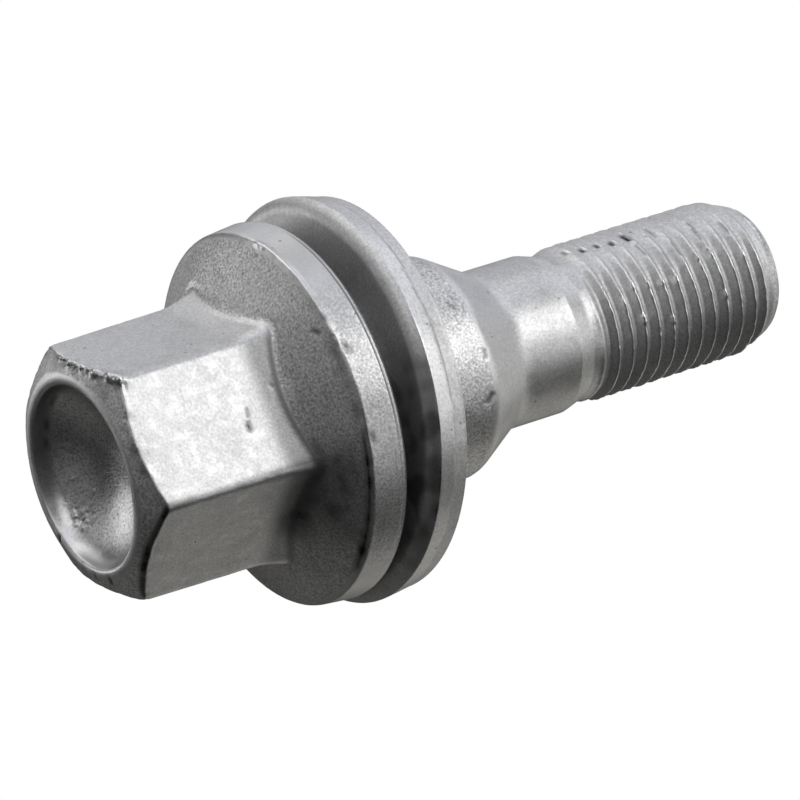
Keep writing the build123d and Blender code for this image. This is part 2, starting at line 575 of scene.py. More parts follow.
@dataclass
class Bolt:
    """Forged bolt in one skin: dished hexagon, flange, groove, collar, cone, shank, thread and tip."""

    # Hexagon and dish
    head_height: float = 18.1
    across_flats: float = 17.0
    hex_height: float = 10.2
    hex_draft: float = 1.0
    hex_edge_radius: float = 0.75
    flare_angle: float = 14.0
    flare_blend: float = 1.3
    crease_reach: float = 0.55
    foot_height: float = 7.0  # the flats count as the foot of the hexagon above this
    ring_width: float = 0.72
    chamfer_angle: float = 30.0
    edge_softness: float = 0.24
    ring_softness: float = 0.4
    dish_wall: float = 1.6
    dish_step_depth: float = 0.9
    dish_step_angle: float = 18.6
    dish_depth: float = 3.3
    # Flange, with a fine step before its rear edge that is measured from the bearing face
    flange_radius: float = 14.05
    flange_front_radius: float = 13.761
    flange_rim: float = 2.75
    flange_slope: float = 31.0
    flange_facet: float = 0.3  # 0 is a true cone, 1 is six flat facets
    rim_blend: float = 0.5
    step_start: float = 0.55
    step_foot: float = 0.44
    step_end: float = 0.24
    rear_inset: float = 0.3
    # Groove, collar, seat cone and shank
    groove_radius: float = 7.5
    groove_end: float = 24.03
    collar_radius: float = 8.4
    collar_end: float = 29.7
    cone_half_angle: float = 30.0
    shank_radius: float = 6.0
    shank_length: float = 5.0
    shoulder_length: float = 1.45
    # Thread and tip; the phase, crest and root are shares of the pitch
    blank_radius: float = 5.575
    run_in: float = 2.0
    thread_radius: float = 5.93
    thread_depth: float = 0.64
    pitch: float = 1.25
    thread_phase: float = -0.25
    crest_share: float = 0.04
    crest_reach: float = 0.09
    root_share: float = 0.38
    thread_stop: float = 1.02  # from the end of the thread to the end of the tip
    thread_fade: float = 1.5
    tip_gap: float = 0.1
    flood_bearing: float = 186.0
    tip_length: float = 2.8
    tip_angle: float = 22.5
    tip_rounding: float = 1.25
    full_length: float = 58.107
    # Mesh and finish
    spacing: float = 0.36
    columns: int = 240
    lump_size: float = 0.62
    # Gives the eye a matt silver grey, cloudy and grainy, lighter where it is rubbed and on painted
    # highlights, dark in its oil and in painted shade
    finish: ZincFlake = ZincFlake("zinc_flake_on_forged_steel")

    def apothem(self, height: float) -> float:
        """Distance from the axis to the flats, which spread out above the wrenching height.

        Args:
            height: height above the front ring.

        Returns:
            Distance in millimetres.
        """
        above = height - self.hex_height
        if above <= 0:
            return self.across_flats / 2 + above * math.tan(math.radians(self.hex_draft))
        bent = min(above, self.flare_blend)
        spread = bent**2 / (2 * self.flare_blend) + above - bent
        return self.across_flats / 2 + spread * math.tan(math.radians(self.flare_angle))

    def hexagon_radius(self, angle: float, height: float) -> float:
        """Distance from the axis to the hexagon with its rounded edges.

        Args:
            angle: bearing from a corner of the hexagon, in radians.
            height: height above the front ring.

        Returns:
            Radius in millimetres.
        """
        apothem = self.apothem(height)
        rounding = self.hex_edge_radius + apothem - self.across_flats / 2
        from_corner = abs((angle + SIXTH / 2) % SIXTH - SIXTH / 2)
        from_flat = SIXTH / 2 - from_corner
        edge_centre = (apothem - rounding) / math.cos(SIXTH / 2)
        if apothem * math.tan(from_flat) <= (apothem - rounding) * math.tan(SIXTH / 2):
            return apothem / math.cos(from_flat)
        across = edge_centre * math.sin(from_corner)
        return edge_centre * math.cos(from_corner) + math.sqrt(rounding**2 - across**2)

    def ring_radius(self) -> float:
        """Outer radius of the flat front ring."""
        return self.apothem(0) - self.dish_wall + self.ring_width

    def dish_step(self) -> tuple[float, float]:
        """Works out the foot of the dish's wall.

        Returns:
            Radius where the wall ends, and the radius of the bowl below it.
        """
        mouth = self.apothem(0) - self.dish_wall
        step = mouth - self.dish_step_depth * math.tan(math.radians(self.dish_step_angle))
        rise = self.dish_depth - self.dish_step_depth
        return step, (step**2 + rise**2) / (2 * rise)

    def dish_height(self, radius: float) -> float:
        """Height of the dish's bowl at a radius."""
        bowl = self.dish_step()[1]
        return self.dish_depth - bowl + math.sqrt(bowl**2 - radius**2)

    def chamfer_height(self, radius: float) -> float:
        """Height of the front chamfer at a radius."""
        return (radius - self.ring_radius()) * math.tan(math.radians(self.chamfer_angle))

    def cone_height(self, radius: float) -> float:
        """Height of the flange's front cone at a radius."""
        inside = self.flange_front_radius - radius
        return self.rim_front() - inside * math.tan(math.radians(self.flange_slope))

    def rim_front(self) -> float:
        """Height where the flange's cone meets its rim."""
        return self.head_height - self.flange_rim

    def facet(self, angle: float, radius: float, share: float) -> float:
        """Rise of the flange's cone towards six flat facets, which the forging die leaves near the hexagon.

        Args:
            angle: bearing from a corner of the hexagon, in radians.
            radius: distance from the axis.
            share: way from the hexagon to the rim, where the facets fade out.

        Returns:
            Rise in millimetres, negative at the corners.
        """
        from_flat = (angle % SIXTH) - SIXTH / 2
        mean = 3 / math.pi  # of the cosine from one corner to the next
        slope = math.tan(math.radians(self.flange_slope))
        return self.flange_facet * (1 - share) * slope * radius * (math.cos(from_flat) / mean - 1)

    def meeting_radius(self, angle: float, surface: Callable[[float], float]) -> float:
        """Radius where the hexagon meets the chamfer or the flange's cone at a bearing.

        Args:
            angle: bearing from a corner of the hexagon, in radians.
            surface: height of the other surface as a function of radius.

        Returns:
            Radius in millimetres.
        """
        radius = self.across_flats / 2
        for _ in range(12):
            radius = self.hexagon_radius(angle, surface(radius))
        return radius

    def head_rings(self) -> list[Ring]:
        """Lays out the head, with closer rings next to its edges.

        Returns:
            Rings from the middle of the dish to the edge of the flange's cone.
        """
        mouth = self.apothem(0) - self.dish_wall
        step, bowl = self.dish_step()
        bend = bowl * math.tan(math.asin(step / bowl) / 2)
        # The bowl is rounded a little tighter than its sphere, so its middle is flat
        dish = [
            Corner(0, self.dish_depth, 0, Zone.DISH),
            Corner(bend, self.dish_depth, 0.82 * bowl, Zone.DISH),
            Corner(step, self.dish_step_depth, 1.9, Zone.DISH),
            Corner(mouth, 0, 0.3, Zone.LIP),
            Corner(self.ring_radius(), 0, 0, Zone.LIP),
        ]
        rings = turned_path(dish, self.spacing)
        rings += [Ring(Zone.CHAMFER, share=s) for s in (0.2, 0.4, 0.6, 0.75, 0.86, 0.94, 1.0)]
        rings += [Ring(Zone.FLATS, share=s) for s in (0.01, 0.025, 0.045, 0.07)]
        rings += [Ring(Zone.FLATS, share=0.07 + 0.93 * k / 24) for k in range(1, 25)]
        flare = (0.12, 0.25, 0.38, 0.5, 0.6, 0.7, 0.77, 0.83, 0.89, 0.95, 1.0)
        rings += [Ring(Zone.FLARE, share=s) for s in flare]
        rings += [Ring(Zone.CONE, share=s) for s in (0.025, 0.05, 0.075, 0.1, 0.13)]
        rings += [Ring(Zone.CONE, share=0.13 + 0.87 * k / 11) for k in range(1, 12)]
        return rings

    def cone_edge(self) -> float:
        """Radius where the flange's cone gives way to its rounded rim."""
        return self.flange_front_radius - self.rim_blend

    def shank_start(self) -> float:
        """Height where the seat cone ends and the shank begins."""
        run = (self.collar_radius - self.shank_radius) / math.tan(math.radians(self.cone_half_angle))
        return self.collar_end + run

    def thread_start(self) -> float:
        """Height where the bare blank begins below the thread."""
        return self.shank_start() + self.shank_length + self.shoulder_length

    def stem_rings(self) -> list[Ring]:
        """Lays out what is turned below the hexagon.

        Returns:
            Rings from the rim of the flange to the bare blank before the thread.
        """
        edge = self.cone_edge()
        shoulder = self.shank_start() + self.shank_length
        collar = self.groove_end + self.collar_radius - self.groove_radius
        rim = [
            Corner(edge, self.cone_height(edge), 0, Zone.RIM),
            Corner(self.flange_front_radius, self.rim_front(), 0.4, Zone.RIM),
            Corner(self.flange_radius - 0.06, self.head_height - self.step_start, 0.08, Zone.RIM),
            Corner(self.flange_radius - 0.15, self.head_height - self.step_foot, 0.04, Zone.RIM),
            Corner(self.flange_radius - 0.12, self.head_height - self.step_end, 0.08, Zone.RIM),
            Corner(self.flange_radius - self.rear_inset, self.head_height, 0, Zone.BEARING),
        ]
        stem = [
            Corner(self.flange_radius - self.rear_inset, self.head_height, 0, Zone.BEARING),
            Corner(self.groove_radius, self.head_height, 0.6, Zone.BEARING),
            Corner(self.groove_radius, self.groove_end, 0, Zone.BEARING),
            Corner(self.collar_radius, collar, 0.1, Zone.COLLAR),
            Corner(self.collar_radius, self.collar_end, 1.8, Zone.SEAT),
            Corner(self.shank_radius, self.shank_start(), 2.6, Zone.SHANK),
            Corner(self.shank_radius, shoulder, 0.25, Zone.SHANK),
            Corner(self.blank_radius, self.thread_start(), 0, Zone.SHANK),
        ]
        return turned_path(rim, 0.6 * self.spacing)[1:] + turned_path(stem, self.spacing)[1:]

    def tip_cone(self, height: float) -> float:
        """Radius of the lead-in cone at a height."""
        lead_in = self.full_length - self.tip_length
        return self.thread_radius - (height - lead_in) * math.tan(math.radians(self.tip_angle))

    def thread_end(self) -> float:
        """Height where the thread has faded out on the lead-in cone."""
        return self.full_length - self.thread_stop

    def tip_rings(self) -> list[Ring]:
        """Lays out the rounded tip.

        Returns:
            Rings from just past the thread to the axis.
        """
        start = self.thread_end() + self.tip_gap
        tip = [
            Corner(self.tip_cone(start), start, 0, Zone.TIP),
            Corner(self.tip_cone(self.full_length), self.full_length, self.tip_rounding, Zone.TIP),
            Corner(0, self.full_length, 0, Zone.TIP),
        ]
        return turned_path(tip, self.spacing)

    def place(self, ring: Ring, angle: float, edge: float, crease: float) -> tuple[float, float, float]:
        """Place of a ring at one bearing.

        Args:
            ring: the ring.
            angle: bearing from a corner of the hexagon, in radians.
            edge: radius where the chamfer meets the hexagon at that bearing.
            crease: radius where the hexagon meets the flange at that bearing.

        Returns:
            Radius, height, and how far the nearest edge or crease of the hexagon is.
        """
        if ring.zone is Zone.CHAMFER:
            radius = self.ring_radius() + ring.share * (edge - self.ring_radius())
            return radius, self.chamfer_height(radius), edge - radius
        crease_height = self.cone_height(crease)
        if ring.zone is Zone.FLATS:
            low = self.chamfer_height(edge)
            height = low + ring.share * (self.hex_height - low)
            return self.hexagon_radius(angle, height), height, min(height - low, crease_height - height)
        if ring.zone is Zone.FLARE:
            height = self.hex_height + ring.share * (crease_height - self.hex_height)
            away = height - crease_height
            return *self.filleted(angle, crease, self.hexagon_radius(angle, height), height, away), -away
        if ring.zone is Zone.CONE:
            radius = crease + ring.share * (self.cone_edge() - crease)
            height = self.cone_height(radius) + self.facet(angle, radius, ring.share)
            return *self.filleted(angle, crease, radius, height, radius - crease), radius - crease
        return ring.radius, ring.height, FAR

    def filleted(
        self, angle: float, crease: float, radius: float, height: float, away: float
    ) -> tuple[float, float]:
        """Place of a point near the crease after the crease is filled with a hollow curve.

        Args:
            angle: bearing from a corner of the hexagon, in radians.
            crease: radius where the hexagon meets the flange at that bearing.
            radius: radius of the point on the sharp form.
            height: its height.
            away: its distance past the crease, negative on the hexagon.

        Returns:
            Radius and height on the curve.
        """
        if abs(away) >= self.crease_reach:
            return radius, height
        corner = Vector((crease, self.cone_height(crease)))
        low = corner.y - self.crease_reach
        out = crease + self.crease_reach
        start = Vector((self.hexagon_radius(angle, low), low))
        end = Vector((out, self.cone_height(out)))
        share = (away / self.crease_reach + 1) / 2
        return tuple(start.lerp(corner, share).lerp(corner.lerp(end, share), share))

    def at_corner(self, ring: Ring) -> Ring:
        """Places a ring where it lies at a corner of the hexagon.

        Args:
            ring: the ring.

        Returns:
            The same ring with its radius and height.
        """
        edge = self.meeting_radius(0, self.chamfer_height)
        crease = self.meeting_radius(0, self.cone_height)
        radius, height, _ = self.place(ring, 0, edge, crease)
        return replace(ring, radius=radius, height=height)

    def shape_head(self, skin: Skin, verts: list[bmesh.types.BMVert], rings: list[Ring]) -> None:
        """Moves the spun rings from circles to their true outline at every bearing.

        Args:
            skin: the bolt's skin.
            verts: vertices of the head and stem.
            rings: their rings, by index.
        """
        step = 2 * math.pi / self.columns
        angles = [k * step for k in range(self.columns)]
        edges = [self.meeting_radius(angle, self.chamfer_height) for angle in angles]
        creases = [self.meeting_radius(angle, self.cone_height) for angle in angles]
        for vert in verts:
            angle = math.atan2(vert.co.y, vert.co.x)
            column = round(angle / step) % self.columns
            ring = rings[vert[skin.ring]]
            radius, height, away = self.place(ring, angle, edges[column], creases[column])
            vert.co = polar(radius, math.degrees(angle), height)
            vert[skin.form] = away

    def soften_edges(self, skin: Skin, verts: list[bmesh.types.BMVert]) -> None:
        """Rounds both edges of the chamfer.

        Args:
            skin: the bolt's skin.
            verts: vertices of the head and stem.
        """
        edge_zones = (Zone.CHAMFER, Zone.FLATS)
        on_edge = [v for v in verts if v[skin.zone] in edge_zones and v[skin.form] < self.edge_softness]
        front = [v for v in verts if v.co.z < self.ring_softness]
        on_ring = [v for v in front if abs(v.co.xy.length - self.ring_radius()) < self.ring_softness]
        for chosen in (on_edge, on_ring):
            for _ in range(3):
                bmesh.ops.smooth_vert(
                    skin.bm, verts=chosen, factor=0.5, use_axis_x=True, use_axis_y=True, use_axis_z=True
                )

    def add_thread(self, skin: Skin) -> None:
        """Rolls the thread: sweeps its section up a helix and trims it to the blank and the tip.

        Args:
            skin: the bolt's skin.
        """
        shares = (-0.41, -0.34, -0.22, -0.1, -0.05, 0.0, 0.05, 0.1, 0.22, 0.34, 0.41, 0.5)
        bottom, top = self.thread_start(), self.thread_end()
        turns = math.ceil((top - bottom) / self.pitch) + 3
        low = bottom - (2 - self.thread_phase) * self.pitch
        known = set(skin.bm.verts)
        line = []
        for turn in range(turns):
            for share in shares:
                vert = skin.bm.verts.new((self.thread_radius, 0, low + (turn + share) * self.pitch))
                vert[skin.form] = abs(share)
                line.append(vert)
        skin.sweep(line, [skin.bm.edges.new(pair) for pair in zip(line, line[1:])], self.pitch)
        for height, way in ((bottom, -1), (top, 1)):
            bmesh.ops.bisect_plane(
                skin.bm,
                geom=skin.newer(known),
                dist=1e-4,
                plane_co=(0, 0, height),
                plane_no=(0, 0, way),
                clear_outer=True,
            )
        for vert in [v for v in skin.bm.verts if v not in known]:
            self.shape_thread(skin, vert)

    def flood(self, point: Vector) -> float:
        """Share of the thread's depth that baked coating fills at a point."""
        wander = 12 * noise.noise(point / 2.6) + 5 * noise.noise(point / 0.9)
        return 0.86 * sector(bearing_of(point) + wander, self.flood_bearing, 22, 90)

    def shape_thread(self, skin: Skin, vert: bmesh.types.BMVert) -> None:
        """Sets the radius of one vertex of the thread.

        Args:
            skin: the bolt's skin.
            vert: the vertex, on a plain cylinder until now.
        """
        height = vert.co.z
        start, end = self.thread_start(), self.thread_end()
        across = vert[skin.form]
        flank = min(1.0, max(0.0, (across - self.crest_share) / (self.root_share - self.crest_share)))
        fade = smooth_step(height, end, end - self.thread_fade)
        drop = self.thread_depth * flank * fade * (1 - self.flood(vert.co))
        on_crest = bell(across, self.crest_reach)
        ragged = 0.08 * on_crest * max(0.0, 0.35 + noise.noise(vert.co / 0.4))
        formed = smooth_step(height, start + 0.3, start + self.run_in)
        crest = min(self.thread_radius, self.tip_cone(height))
        radius = self.blank_radius + formed * (crest - drop - ragged - self.blank_radius)
        vert.co.xy *= radius / vert.co.xy.length
        vert[skin.zone] = Zone.THREAD
        # Paler and smoother along the crests, partly rubbed and partly a painted highlight, and rougher in
        # the roots
        vert[skin.shine] = formed * (2.2 * on_crest - 1)

    def thread_marks(self) -> list[Mark]:
        """Places pits and streaks in the flooded side of the thread, and beads on its crests.

        Returns:
            Marks of the thread.
        """
        coat = self.thread_radius - 0.03
        # Height, bearing, half the length in degrees, and size
        pits = (
            (41.7, 214.5, 2.0, 0.6),
            (43.0, 219.3, 1.2, 0.8),
            (44.25, 219.7, 1.6, 0.62),
            (45.45, 221.7, 1.4, 0.75),
            (46.9, 219.6, 3.4, 1.0),
        )
        marks = [
            Mark((coat, b - half, z - 0.01), (coat, b + half, z + 0.02), 0.29 * k, 0.24 * k, 0.6 + 0.4 * k)
            for z, b, half, k in pits
        ]
        # Height and bearing
        streaks = (
            (49.68, 246), (48.55, 253), (54.36, 241), (52.04, 239),
            (48.99, 223), (52.2, 231), (47.0, 238),
        )
        marks += [
            Mark((coat, b - 5, z - 0.02), (coat, b + 5, z + 0.02), 0.18, 0.1, 0.5) for z, b in streaks
        ]
        # Height, bearing and size
        beads = (
            (44.6, 263.3, 1.1), (44.76, 289.0, 1.3), (43.42, 272.9, 1.0), (52.12, 257.1, 1.2),
            (47.18, 266.9, 1.0), (47.26, 295.7, 0.9), (54.64, 265.1, 1.0), (52.2, 289.1, 0.7),
            (50.87, 256.9, 0.9), (48.43, 268.5, 1.1), (45.95, 266.0, 0.8),
        )
        crest = self.thread_radius
        marks += [Mark((crest, b - 1.5, z), (crest, b + 1.5, z), 0.18 * k, -0.11 * k) for z, b, k in beads]
        return marks

    def head_marks(self) -> list[Mark]:
        """Places lumps and pits in the dish and on the chamfer's edge, and nicks on the front ring.

        Returns:
            Marks of the head's front.
        """
        # In the dish: radius, bearing and depth
        lumps = (
            (5.08, 97.7, -0.14), (3.89, 79.4, -0.14), (5.9, 72.0, -0.1), (5.5, 63.0, -0.15),
            (5.72, 68.3, 0.1), (5.2, 70.5, -0.12), (4.9, 63.0, 0.08), (5.55, 75.5, 0.09),
            (4.7, 59.0, -0.08), (5.85, 60.8, -0.13), (5.3, 57.0, 0.1), (6.05, 66.0, -0.1),
            (5.36, 66.6, -0.1), (5.62, 64.9, 0.12), (5.05, 67.4, 0.07),
        )
        marks = []
        for radius, bearing, depth in lumps:
            place = (radius, bearing, self.dish_height(radius))
            marks.append(Mark(place, place, 0.14, depth, 0.6 if depth > 0 else 0.0))
        # On the chamfer's edge: bearing, reach and depth
        edge = (
            (196, 0.24, -0.1), (201, 0.3, 0.12), (204.5, 0.4, -0.16), (213, 0.26, 0.16),
            (216, 0.34, -0.13), (222.5, 0.22, 0.1), (226, 0.42, -0.2), (231, 0.24, 0.14),
            (235, 0.5, -0.24), (239.5, 0.36, -0.2),
        )
        for bearing, reach, depth in edge:
            radius = self.meeting_radius(math.radians(bearing), self.chamfer_height)
            place = (radius - 0.05, bearing, self.chamfer_height(radius))
            marks.append(Mark(place, place, reach, depth, 0.45 if depth > 0 else 0.0))
        marks += [
            Mark((6.95, 66.0, 0.0), (7.3, 64.5, 0.0), 0.15, 0.09, 0.9),
            Mark((7.4, 11.0, 0.0), (7.7, 12.5, 0.15), 0.2, 0.1, 0.9),
            Mark((7.3, 27.0, 0.0), (7.6, 26.0, 0.1), 0.15, 0.07, 0.6),
        ]
        return marks

    def handling_marks(self) -> list[Mark]:
        """Places the scratches and bruises that handling left.

        Returns:
            Marks of the flats, the flange and the collar.
        """
        flats = [
            Mark((8.49, 269.0, 9.55), (8.5, 272.5, 9.5), 0.13, 0.06, 0.75),
            Mark((8.52, 274.6, 9.35), (8.58, 278.6, 9.2), 0.14, 0.06, 0.85),
            Mark((8.54, 276.2, 9.1), (8.6, 279.4, 9.3), 0.1, 0.04, 0.6),
            Mark((8.93, 262.0, 11.8), (8.95, 263.0, 11.9), 0.14, 0.06, 0.6),
        ]
        flange = [
            Mark((13.68, 289.6, 15.5), (13.68, 291.2, 15.6), 0.3, 0.1, 0.45),
            Mark((13.66, 262.0, 15.5), (13.7, 264.0, 15.7), 0.3, 0.1, 0.3),
            Mark((12.6, 253.4, 14.66), (12.85, 255.2, 14.8), 0.22, 0.05, 0.7),
            Mark((13.62, 217.0, 15.35), (13.64, 218.5, 15.4), 0.3, -0.06),
            Mark((13.65, 255.0, 15.45), (13.66, 255.6, 15.45), 0.22, -0.08),
        ]
        collar = [
            Mark((8.39, 276.5, 29.4), (8.39, 279.5, 29.35), 0.2, 0.08, 0.55),
            Mark((8.39, 299.0, 29.2), (8.39, 301.5, 28.9), 0.25, 0.09, 0.6),
            Mark((8.4, 247.0, 28.2), (8.4, 252.0, 28.6), 0.16, 0.05, 0.5),
            Mark((8.4, 244.0, 28.7), (8.4, 247.5, 28.9), 0.13, 0.04, 0.4),
        ]
        return flats + flange + collar

    def relief(self, zone: Zone) -> Relief:
        """Picks the unevenness of a zone: forged, blasted or rolled.

        Args:
            zone: the zone.

        Returns:
            Its unevenness.
        """
        forged = Relief(0.012, 4.0, 0.008, 0.6)
        cast_like = Relief(0.02, 3.0, 0.022, 0.55)
        blasted = Relief(0.012, 2.5, 0.03, 0.5)
        rolled = Relief(0.01, 2.0, 0.02, 0.45)
        true = Relief(0.008, 3.0, 0.0, 1.0)
        return {
            Zone.DISH: cast_like,
            Zone.CHAMFER: cast_like,
            Zone.FLATS: forged,
            Zone.FLARE: forged,
            Zone.CONE: cast_like,
            Zone.RIM: cast_like,
            Zone.COLLAR: blasted,
            Zone.SHANK: rolled,
            Zone.THREAD: rolled,
            Zone.TIP: rolled,
        }.get(zone, true)

    def depth(self, skin: Skin, vert: bmesh.types.BMVert) -> float:
        """Depth of a vertex below the true form.

        It holds the zone's unevenness, lumps along the hexagon's edges, and the flash that stands out
        where the flange's cone meets its rim.

        Args:
            skin: the bolt's skin.
            vert: the vertex.

        Returns:
            Depth in millimetres.
        """
        zone = Zone(vert[skin.zone])
        bearing = bearing_of(vert.co)
        depth = self.relief(zone).depth(vert.co)
        lump = max(0.0, noise.noise(vert.co / self.lump_size))
        bead = max(0.0, 0.35 + noise.noise(vert.co / 0.45))
        if zone in (Zone.CHAMFER, Zone.FLATS):
            bruised = sector(bearing, 218, 22, 32)
            depth += 0.06 * lump * bell(corner_distance(vert.co), 0.6)
            depth += (0.09 + 0.2 * bruised) * lump * bell(vert[skin.form], 0.5)
            depth -= 0.2 * bruised * bead * bell(vert[skin.form], 0.22)
        if zone is Zone.RIM:
            flash = sector(bearing, 236, 20, 28) + 0.3 * sector(bearing, 290, 40, 60)
            depth -= (0.07 + 0.12 * bead) * flash * bell(vert.co.z - self.rim_front(), 0.15)
        return depth

    def grime_and_shade(self, skin: Skin, vert: bmesh.types.BMVert) -> float:
        """Dark deposit and painted shade at a vertex.

        Args:
            skin: the bolt's skin.
            vert: the vertex.

        Returns:
            Strength of the deposit and painted shade, from 0 to 1.
        """
        spot = Spot(
            zone=Zone(vert[skin.zone]),
            point=vert.co,
            bearing=bearing_of(vert.co),
            radius=vert.co.xy.length,
            away=vert[skin.form],
            patch=smooth_step(noise.noise(vert.co / 1.1), -0.2, 0.5),
            lump=smooth_step(noise.noise(vert.co / self.lump_size), 0.1, 0.6),
        )
        if spot.zone is Zone.DISH:
            return self.dish_grime_and_shade(spot)
        if spot.zone is Zone.TIP:
            return 0.35 * spot.lump + 0.3 * spot.patch
        # Painted shade in the roots of the thread, less where coating fills them
        if spot.zone is Zone.THREAD:
            return 0.06 * smooth_step(spot.away, 0.25, 0.4) * (1 - self.flood(spot.point))
        return max(self.hexagon_grime_and_shade(spot), self.foot_shadow(spot), self.flange_grime_and_shade(spot))

    def dish_grime_and_shade(self, spot: Spot) -> float:
        """Painted shade on the shaded side of the dish's wall with a dark line at its foot, and thin dark
        layers and painted shade on the bowl.

        Args:
            spot: place in the dish.

        Returns:
            Strength of the deposit and painted shade.
        """
        foot = (0.3 + 0.5 * spot.patch) * bell(spot.radius - 6.3, 0.14)
        # Painted shade on the shaded side of the wall
        wall = sector(spot.bearing, 158, 34, 58) * max(0.5 * bell(spot.radius - 6.55, 0.3), foot)
        # Thin dark layers, with painted shade on one side of the bowl
        film_and_shade = 0.12 * spot.lump + 0.22 * sector(spot.bearing, 95, 35, 60)
        # Painted shade near the edge of the bowl on one side
        low_shade = 0.45 * sector(spot.bearing, 14, 24, 42)
        return wall + film_and_shade * smooth_step(spot.radius, 6.3, 5.8) + low_shade * smooth_step(spot.radius, 5.2, 6.0)

    def hexagon_grime_and_shade(self, spot: Spot) -> float:
        """Oil on the shaded edge of the chamfer, pits and smears on the chamfer with painted shade across its
        top, and deposits along the upright edges.

        Args:
            spot: any place; only the chamfer and the flats have such deposits and painted shade.

        Returns:
            Strength of the deposit and painted shade.
        """
        if spot.zone not in (Zone.CHAMFER, Zone.FLATS):
            return 0.0
        width = 0.62 if spot.zone is Zone.CHAMFER else 0.2
        oil = (0.75 + 0.2 * spot.patch) * smooth_step(spot.away, width, 0.3 * width)
        oil *= sector(spot.bearing, 328, 27, 33)
        if spot.zone is Zone.CHAMFER:
            worn = 0.25 + 0.75 * sector(spot.bearing, 245, 55, 70)
            pits = worn * bell(spot.away, 0.6) * (0.3 * spot.patch + 0.6 * spot.lump)
            # Painted shade across the top of the chamfer
            film_and_shade = 0.4 * sector(spot.bearing, 185, 50, 75) * (0.6 + 0.4 * spot.patch)
            smear = sector(spot.bearing, 290, 18, 32) * bell(spot.away, 0.5) * (0.2 + 0.5 * spot.patch)
            return max(oil, pits, film_and_shade, smear)
        upright = corner_distance(spot.point)
        shaded = 0.5 * spot.patch * bell(upright, 0.35) * sector(spot.bearing, 300, 10, 20)
        return max(oil, shaded, 0.2 * spot.lump * bell(upright, 0.4))

    def foot_shadow(self, spot: Spot) -> float:
        """Painted shadow in the hollow between the hexagon and the flange, on its shaded side, and painted
        shade in the crease below the lit flat.

        Args:
            spot: any place; only the foot of the hexagon and the flange's cone have such painted shadow.

        Returns:
            Strength of the painted shadow.
        """
        if spot.zone not in (Zone.FLATS, Zone.FLARE, Zone.CONE) or spot.point.z <= self.foot_height:
            return 0.0
        spread = 1.5 if spot.zone is Zone.CONE else 1.6
        # Painted shadow in the hollow on the shaded side
        hollow = sector(spot.bearing, 318, 12, 34) * (0.7 + 0.15 * spot.patch) * bell(spot.away, spread)
        if spot.zone is Zone.FLARE:
            # Painted shade in the crease below the lit flat
            crease = 0.4 * bell(spot.away - 0.15, 0.2) * sector(spot.bearing, 270, 28, 33)
            return max(hollow, crease)
        if spot.zone is Zone.CONE:
            # Painted shadow spreading over the flange's cone
            shade = sector(spot.bearing, 311, 10, 28) * (0.5 + 0.3 * spot.patch) * bell(spot.away, 4.4)
            return max(hollow, shade)
        return hollow

    def flange_grime_and_shade(self, spot: Spot) -> float:
        """Dark line where the flange's cone turns into its rim with painted shadow and specks beside it,
        faint patches on the rim, and a dark line in its rear step, partly deposit and partly painted shade.

        Args:
            spot: any place; only the flange's cone and rim have such deposits and painted shade.

        Returns:
            Strength of the deposit and painted shade.
        """
        if spot.zone not in (Zone.CONE, Zone.RIM):
            return 0.0
        behind = spot.point.z - self.head_height
        # Dark line in the rear step's recess: deposit, and painted shade
        if behind > -self.step_start - 0.01:
            return 0.7 * sector(spot.bearing, 255, 25, 50) * bell(behind + self.step_foot, 0.09)
        if spot.point.z > self.rim_front() + 0.45:
            return 0.22 * spot.patch * spot.lump * sector(spot.bearing, 310, 30, 45)
        line = min(1.0, bell(spot.radius - 13.42, 0.22) * (0.8 + 0.7 * spot.patch))
        line *= sector(spot.bearing, 313, 20, 30)
        # Painted shadow on the cone beside the rim
        shadow = sector(spot.bearing, 277, 12, 24) * bell(spot.radius - 13.2, 0.5)
        shadow *= 0.15 + 0.4 * spot.patch
        return max(line, shadow, 0.3 * spot.lump * bell(spot.radius - 13.5, 0.3))

    def grit(self, zone: Zone, point: Vector) -> float:
        """Coarseness of the coat: blasted and forged faces are the coarsest.

        Args:
            zone: zone of the place.
            point: the place.

        Returns:
            Strength of the grain.
        """
        if zone is Zone.RIM:
            return 0.15 + 0.85 * sector(bearing_of(point), 290, 35, 55)
        if zone is Zone.DISH:
            return 0.5 + 0.9 * smooth_step(point.xy.length, 6.5, 5.6)
        if zone in (Zone.CONE, Zone.COLLAR, Zone.CHAMFER, Zone.TIP):
            return 1.4
        return 0.4 if zone in (Zone.SEAT, Zone.LIP, Zone.BEARING) else 0.55

    def polish(self, zone: Zone, point: Vector) -> float:
        """Shine beyond the plain coat: rubbed with a painted highlight on one side of the rim, smeared on the
        chamfer, patchy on the flats, even in the dish.

        Args:
            zone: zone of the place.
            point: the place.

        Returns:
            Shine, negative where the place is duller than the plain coat.
        """
        if zone is Zone.RIM:
            # Paler and smoother on one side of the rim: rubbed, and a painted highlight along the flange's
            # front edge
            return 0.5 * sector(bearing_of(point), 212, 22, 36)
        if zone is Zone.CHAMFER:
            return 0.9 * smooth_step(noise.noise(point / 0.9), -0.2, 0.5) - 0.5
        if zone is Zone.FLATS:
            return 0.4 * smooth_step(noise.noise(point / 0.7), -0.1, 0.5) - 0.15
        return 0.7 if zone is Zone.DISH else 0.0

